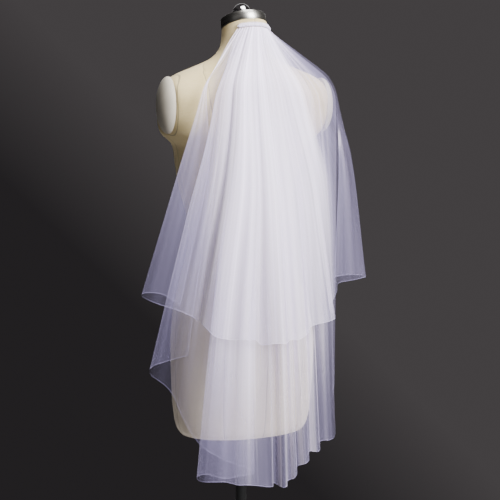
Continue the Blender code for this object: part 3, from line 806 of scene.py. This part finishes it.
def tier_cloth(tier, creases):
    """Points of a tier from neck to hem, places on the flat cloth, steps across and slope to the sheet."""
    hem = spline_through([np.array(row) * MM for row in tier.hem], COARSE_COLUMNS + 1)
    sheet, normals = smooth_sheet(tier)
    shares = np.linspace(-0.2, 1.1, EDGE_SAMPLES)
    edge = on_sheet(sheet, shares, np.ones(EDGE_SAMPLES))[:, :2]
    places = []
    for point in hem:
        nearest = int(np.argmin(np.linalg.norm(edge - point[:2], axis=1)))
        normal = on_sheet(normals, shares[nearest], 1.0)[:2]
        places.append((shares[nearest], np.dot(point[:2] - edge[nearest], normal) / np.dot(normal, normal)))
    places = softened(np.array(places), 1)
    fold, out, low = finer(places[:, 0], FINE), finer(places[:, 1], FINE), finer(hem[:, 2], FINE)
    columns = len(fold)
    share = np.linspace(0, 1, columns)
    end = on_sheet(sheet, fold, np.ones(columns))
    drop = (on_sheet(sheet, fold, np.full(columns, 0.95)) - end)[:, 2] / 0.05
    reach = 1 + (end[:, 2] + out * on_sheet(normals, fold, np.ones(columns))[:, 2] - low) / drop
    rows = np.linspace(0, 1, FALL_STEPS + 1)
    rows = np.concatenate([rows[:-1], [1 - EDGE_ROW, 1]])
    angle = GATHER_LEFT + (GATHER_RIGHT - GATHER_LEFT) * share
    opens = np.interp(fold, *zip(*[(row.share, row.opens) for row in tier.sheet]))
    lines, level = [], []
    for row in rows:
        fall = row * reach
        t = np.clip((fall - opens) / (UNGATHERED - opens), 0, 1)
        open_share = np.clip((row - opens) / (1 - opens), 0, 1)
        across = share + (fold - share) * t * t * (3 - 2 * t)
        normal = on_sheet(normals, across, fall)
        pleat = GATHER_PLEAT_DEPTH * np.cos(2 * pi * GATHER_PLEATS * share)
        pleat *= max(0, 1 - row / GATHER_PLEAT_REACH)
        line = on_sheet(sheet, across, fall) + normal * (out * open_share**FOLD_GROWTH)[:, None]
        line += pleat[:, None] * np.column_stack([np.sin(angle), np.cos(angle), 0 * angle])
        line += normal * crease_depths(creases, share, row)[:, None] * MM
        lines.append(line)
        level.append(normal)
    grid, level = (np.array(each).transpose(1, 0, 2) for each in (lines, level))
    turned_normals = np.cross(np.gradient(grid, axis=1), np.gradient(grid, axis=0))
    turned_normals /= np.maximum(np.linalg.norm(turned_normals, axis=2, keepdims=True), 1e-12)
    slope = np.clip(np.abs((turned_normals * level).sum(axis=2)), STEEPEST, 1)
    across = np.linalg.norm(np.diff(grid, axis=0), axis=2)
    flat = np.concatenate([[0], np.cumsum(across[:, -1])])
    down = np.linalg.norm(np.diff(grid, axis=1), axis=2)
    length = np.concatenate([np.zeros((columns, 1)), np.cumsum(down, axis=1)], axis=1)
    return grid, flat, length[:, -1:] - length, across, slope


# Creases that the gathers set in the cloth: share across at the neck, how far it drifts by the hem, where on
# the fall it starts and ends, how far it stands out (+) or in (-), and its width as a share.
Crease = namedtuple("Crease", "share drift start end depth width")
LOWER_CREASES = [
    Crease(0.06, -0.010, 0.02, 0.60, 1.6, 0.012),
    Crease(0.11, 0.006, 0.02, 0.85, -1.8, 0.014),
    Crease(0.17, -0.004, 0.00, 0.55, 1.4, 0.010),
    Crease(0.23, 0.008, 0.03, 0.95, 2.2, 0.016),
    Crease(0.29, 0.000, 0.00, 0.70, -1.6, 0.012),
    Crease(0.34, -0.006, 0.02, 1.00, 1.8, 0.013),
    Crease(0.40, 0.004, 0.00, 0.60, 1.5, 0.010),
    Crease(0.46, 0.006, 0.02, 0.98, -2.0, 0.015),
    Crease(0.52, -0.004, 0.00, 0.80, 1.6, 0.011),
    Crease(0.58, 0.008, 0.04, 1.00, 2.2, 0.015),
    Crease(0.64, 0.000, 0.00, 0.65, -1.5, 0.011),
    Crease(0.70, -0.008, 0.02, 1.00, 1.9, 0.013),
    Crease(0.77, 0.004, 0.00, 0.75, -1.7, 0.013),
    Crease(0.84, 0.006, 0.02, 0.90, 1.8, 0.014),
    Crease(0.90, -0.004, 0.00, 0.60, 1.3, 0.010),
    Crease(0.95, 0.002, 0.04, 0.80, -1.4, 0.012),
]
GATHER_WAVES = ((29, 0.36, 0.4), (47, 0.34, 2.1), (71, 0.22, 4.0))


def crease_depths(creases, share, row):
    """How far each place across stands out at one row of the fall, in millimetres."""
    depth = np.zeros(len(share))
    for crease in creases:
        if crease.start < row < crease.end:
            rise = min(1.0, (row - crease.start) / 0.10, (crease.end - row) / 0.15)
            centre = crease.share + crease.drift * row
            ridge = np.exp(-(((share - centre) / crease.width) ** 2))
            depth += crease.depth * rise * rise * (3 - 2 * rise) * ridge
    fade = min(1.0, 0.35 + row / 0.12) * max(0.0, 1 - row / 0.72) ** 1.3
    for count, height, start in GATHER_WAVES:
        slow = 0.6 + 0.4 * np.sin(2 * pi * share * 5.3 + start)
        depth += height * fade * slow * np.sin(2 * pi * count * share + start + 2.5 * row)
    return depth


# How many layers the smallest gathers keep together, by share across the tier, at its neck, waist and hem.
Gathers = namedtuple("Gathers", "share neck waist hem")
LOWER_GATHERS = [
    Gathers(0, 0.4, 0.6, 0.28),
    Gathers(0.10, 0.5, 0.75, 0.28),
    Gathers(0.24, 0.7, 2.0, 0.34),
    Gathers(0.36, 0.8, 3.0, 0.42),
    Gathers(0.44, 0.9, 3.6, 0.80),
    Gathers(0.55, 1.0, 4.2, 1.30),
    Gathers(0.75, 1.0, 5.0, 1.35),
    Gathers(0.88, 0.8, 1.9, 0.70),
    Gathers(1, 0.4, 0.8, 0.45),
]
UPPER_GATHERS = [
    Gathers(0, 0.5, 0.5, 0.36),
    Gathers(0.14, 0.6, 0.65, 0.42),
    Gathers(0.21, 0.9, 2.0, 0.9),
    Gathers(0.28, 1.2, 4.5, 2.0),
    Gathers(0.50, 1.4, 5.5, 2.6),
    Gathers(0.64, 1.4, 5.5, 3.0),
    Gathers(0.72, 1.0, 3.4, 1.9),
    Gathers(0.82, 0.6, 0.7, 0.6),
    Gathers(1, 0.45, 0.45, 0.4),
]


def gathered_layers(gathers, columns, falls):
    """Layers held together at each place across and down."""
    share = np.linspace(0, 1, columns)
    names = ("neck", "waist", "hem")
    neck, waist, hem = (read_rows(gathers, "share", name, share)[:, None] for name in names)
    high = np.clip(falls / 0.42, 0, 1)[None, :]
    low = np.clip((falls - 0.5) / 0.45, 0, 1)[None, :]
    upper = neck + (waist - neck) * high * high * (3 - 2 * high)
    return upper + (hem - upper) * low * low * (3 - 2 * low)


# Narrow tucks where the net lies three layers deep, in metres along the hem, and how strong they are.
TUCK_STEP = 0.037
TUCK_WIDTH = 0.0018
TUCK_STRENGTH = 0.55


def tucked_layers(flat):
    """Extra layers in the tucks, which are spaced unevenly along the hem."""
    extra = np.zeros(len(flat))
    for k in range(int(flat[-1] / TUCK_STEP)):
        centre = (k + 0.5 + 0.38 * sin(k * 2.4)) * TUCK_STEP
        strength = 0.5 + 0.5 * sin(k * 1.7 + 0.6)
        extra += strength * np.exp(-(((flat - centre) / TUCK_WIDTH) ** 2))
    middle = np.clip(np.minimum(flat, flat[-1] - flat) / flat[-1] / 0.08 - 2.6, 0, 1)
    return extra * middle


def tier_piece(tier, creases, gathers):
    grid, flat, up, across, slope = tier_cloth(tier, creases)
    columns, rows = grid.shape[:2]
    cloth = np.column_stack([np.repeat(flat, rows), up.ravel()])
    faces = []
    for k in range(columns - 1):
        for r in range(rows - 1):
            a = k * rows + r
            faces.append((a, a + 1, a + rows + 1, a + rows))
    piece = mesh_piece(tier.name, grid.reshape(-1, 3), faces, cloth)
    fullness = across[:, -1:] / np.maximum(softened(across, 12), 1e-6)
    fullness = np.vstack([fullness, fullness[-1:]])
    fullness *= gathered_layers(gathers, columns, np.linspace(0, 1, rows))
    fullness *= (1 + TUCK_STRENGTH * tucked_layers(flat)[:, None]) / slope
    from_left = np.vstack([np.zeros(rows), np.cumsum(across, axis=0)])
    from_side = np.minimum(from_left, from_left[-1] - from_left)
    for name, values in (("fullness", fullness), ("from_side", from_side)):
        layer = piece.data.attributes.new(name, "FLOAT", "POINT")
        layer.data.foreach_set("value", values.astype(np.float32).ravel())
    return piece, float(flat[-1]), float(up[:, 0].max())


def tulle(name, net, streaks):
    """Soft white tulle. Net is the share of one layer that thread covers."""
    finish = Finish(name)
    u, v, _ = finish.parts(finish.cloth_place())
    full = finish.node("ShaderNodeAttribute", {"attribute_name": "fullness"}, {}, "Fac")
    broad = finish.grain(finish.joined(u * streaks, v * 0.5, 0.3), 1, 2)
    fine = finish.grain(finish.joined(u * streaks * 4, v * 1.2, 2.7), 1, 1)
    streak = broad * 0.7 + fine * 0.3
    layers = full * (0.15 + 3.4 * streak * streak)
    cover = 1 - (1 - net) ** layers
    side = finish.node("ShaderNodeAttribute", {"attribute_name": "from_side"}, {}, "Fac")
    edge = 1 - v.at_most(side).rise(EDGE_LINE * 0.5, EDGE_LINE * 1.2)
    alpha = (cover + edge * 0.2).at_most(0.985)
    return finish.surface(
        Base_Color=finish.blend(cover.rise(0.06, 0.4), (0.60, 0.53, 0.92), (0.88, 0.80, 1.0)),
        Roughness=0.7 + 0.15 * streak,
        Alpha=alpha,
        Normal=finish.relief(broad, 0.0028, 0.6),
        Sheen_Weight=0.2,
        Sheen_Roughness=0.4,
    )


net = tulle("soft_tulle", 0.12, 26)
lower, lower_width, lower_length = tier_piece(LOWER_TIER, LOWER_CREASES, LOWER_GATHERS)
finished(lower, net, "tulle", "veil_lower_tier")

# Upper tier of the veil: a shorter piece of the same tulle, gathered over the lower one.
# It opens wide to both sides, with a free corner at each, and bridges the hollow beside the neck.
UPPER_TIER = Tier(
    name="upper_tier",
    hem=[
        Turn(206, 126, 853),
        Turn(248, 111, 877),
        Turn(283, 96, 876),
        Turn(265, 130, 862),
        Turn(216, 154, 843),
        Turn(180, 155, 824),
        Turn(184, 185, 818),
        Turn(159, 200, 794),
        Turn(126, 194, 785),
        Turn(110, 217, 786),
        Turn(81, 222, 785),
        Turn(59, 208, 771),
        Turn(32, 223, 773),
        Turn(5, 223, 772),
        Turn(-9, 202, 775),
        Turn(-28, 214, 776),
        Turn(-54, 207, 788),
        Turn(-69, 188, 796),
        Turn(-92, 193, 802),
        Turn(-122, 186, 805),
        Turn(-144, 165, 809),
        Turn(-142, 137, 823),
        Turn(-168, 116, 840),
        Turn(-192, 93, 858),
        Turn(-208, 68, 867),
        Turn(-249, 64, 871),
        Turn(-298, 44, 876),
        Turn(-265, 16, 877),
        Turn(-231, 14, 874),
    ],
    sheet=[
        Line(0, 166, 103, 15, 0, 270, 73, 876),
        Line(0.1, 149, 115, 20, 0, 235, 98, 864),
        Line(0.2, 118, 130, 24, 0, 199, 121, 846),
        Line(0.35, 74, 138, 26, 0, 140, 150, 806),
        Line(0.5, 22, 144, 26, 0, 40, 186, 777),
        Line(0.65, -34, 142, 24, 0, -44, 178, 778),
        Line(0.8, -106, 130, 18, 0.06, -128, 134, 822),
        Line(0.9, -168, 107, 13, 0.16, -196, 76, 862),
        Line(0.95, -206, 77, 13, 0.24, -226, 42, 870),
        Line(1, -228, 28, 13, 0.28, -238, 0, 876),
    ],
    neck_radius=0.0565,
)
UPPER_CREASES = [
    Crease(0.05, -0.006, 0.02, 0.70, 1.6, 0.012),
    Crease(0.11, 0.004, 0.02, 0.90, -1.8, 0.014),
    Crease(0.18, 0.010, 0.00, 0.80, 2.0, 0.014),
    Crease(0.25, -0.004, 0.00, 0.55, -1.5, 0.010),
    Crease(0.31, 0.006, 0.02, 1.00, 2.4, 0.016),
    Crease(0.38, 0.000, 0.00, 0.75, -1.8, 0.012),
    Crease(0.44, 0.008, 0.02, 0.95, 2.0, 0.014),
    Crease(0.50, -0.006, 0.00, 0.60, -2.0, 0.010),
    Crease(0.56, 0.004, 0.02, 1.00, 2.2, 0.015),
    Crease(0.62, 0.006, 0.00, 0.70, -2.2, 0.010),
    Crease(0.69, -0.004, 0.02, 0.95, 2.0, 0.014),
    Crease(0.76, 0.004, 0.00, 0.80, -1.6, 0.012),
    Crease(0.83, 0.000, 0.02, 0.90, 1.8, 0.013),
    Crease(0.90, -0.006, 0.00, 0.70, -1.4, 0.011),
    Crease(0.95, 0.004, 0.02, 0.85, 1.4, 0.011),
]
upper, upper_width, upper_length = tier_piece(UPPER_TIER, UPPER_CREASES, UPPER_GATHERS)
finished(upper, net, "tulle", "veil_upper_tier")


# Floor: a pale round of matt board under the stand.
FLOOR_RADIUS = 1.12
FLOOR_SIDES = 96


def floor_finish():
    finish = Finish("pale_floor")
    cloud = finish.grain(finish.place(), 3, 4)
    pale = finish.blend(cloud, (0.60, 0.59, 0.58), (0.66, 0.65, 0.64))
    return finish.surface(Base_Color=pale, Roughness=0.8)


floor_turns = [2 * pi * k / FLOOR_SIDES for k in range(FLOOR_SIDES)]
floor_edge = [(FLOOR_RADIUS * cos(turn), FLOOR_RADIUS * sin(turn), 0) for turn in floor_turns]
floor = mesh_piece("floor", floor_edge, [tuple(range(FLOOR_SIDES))])
floor.data.materials.append(floor_finish())

# Light: a large soft box on the camera's side, and weaker ones beside, above and beyond the part.
# The backdrop is dark grey, with a painted soft shadow that darkens it towards one side and downwards, so the
# sheer net shows against it.
Lamp = namedtuple("Lamp", "name place size power")
LAMPS = [
    Lamp("key", (-0.8, 2.7, 2.3), 1.5, 262),
    Lamp("side", (2.6, 1.3, 1.7), 1.5, 1.5),
    Lamp("top", (-0.1, 0.8, 2.8), 1.2, 62),
    Lamp("front", (-1.4, -2.4, 2.0), 1.6, 10),
]
TARGET = Vector((0, 0, 0.945))
for lamp in LAMPS:
    light = bpy.data.lights.new(lamp.name, "AREA")
    light.size = lamp.size
    light.energy = lamp.power
    holder = bpy.data.objects.new(lamp.name, light)
    holder.location = lamp.place
    holder.rotation_euler = (TARGET - Vector(lamp.place)).to_track_quat("-Z", "Y").to_euler()
    holder.visible_camera = False
    bpy.context.scene.collection.objects.link(holder)
world = bpy.data.worlds.new("backdrop")
bpy.context.scene.world = world
world.use_nodes = True
nodes, links = world.node_tree.nodes, world.node_tree.links
# Painted shadow: the backdrop's colour is mixed from dark to lighter grey by direction, darkest low on one
# side.
towards = nodes.new("ShaderNodeTexCoord")
turned_to = nodes.new("ShaderNodeVectorMath")
turned_to.operation = "DOT_PRODUCT"
turned_to.inputs[1].default_value = (-0.886, 0.452, 1.0)
shade = nodes.new("ShaderNodeMapRange")
shade.inputs["From Min"].default_value = -0.22
shade.inputs["From Max"].default_value = -0.085
backdrop = nodes.new("ShaderNodeMix")
backdrop.data_type = "RGBA"
sockets = {socket.identifier: socket for socket in [*backdrop.inputs, *backdrop.outputs]}
sockets["A_Color"].default_value = (0.021, 0.019, 0.0205, 1)
sockets["B_Color"].default_value = (0.064, 0.058, 0.060, 1)
links.new(towards.outputs["Generated"], turned_to.inputs[0])
links.new(turned_to.outputs["Value"], shade.inputs["Value"])
links.new(shade.outputs["Result"], backdrop.inputs["Factor"])
links.new(sockets["Result_Color"], nodes["Background"].inputs["Color"])

# Camera: behind the form, turned towards its left side and a little above its middle.
VIEW_TURN = radians(153)
VIEW_RISE = radians(6)
VIEW_REACH = 3.1
camera = bpy.data.objects.new("camera", bpy.data.cameras.new("camera"))
camera.data.lens = 101.5
camera.data.sensor_width = 36
camera.data.shift_x = 9 / 500
reach = Vector((sin(VIEW_TURN) * cos(VIEW_RISE), -cos(VIEW_TURN) * cos(VIEW_RISE), sin(VIEW_RISE)))
camera.location = TARGET + reach * VIEW_REACH
camera.rotation_euler = (-reach).to_track_quat("-Z", "Y").to_euler()
bpy.context.scene.collection.objects.link(camera)
bpy.context.scene.camera = camera
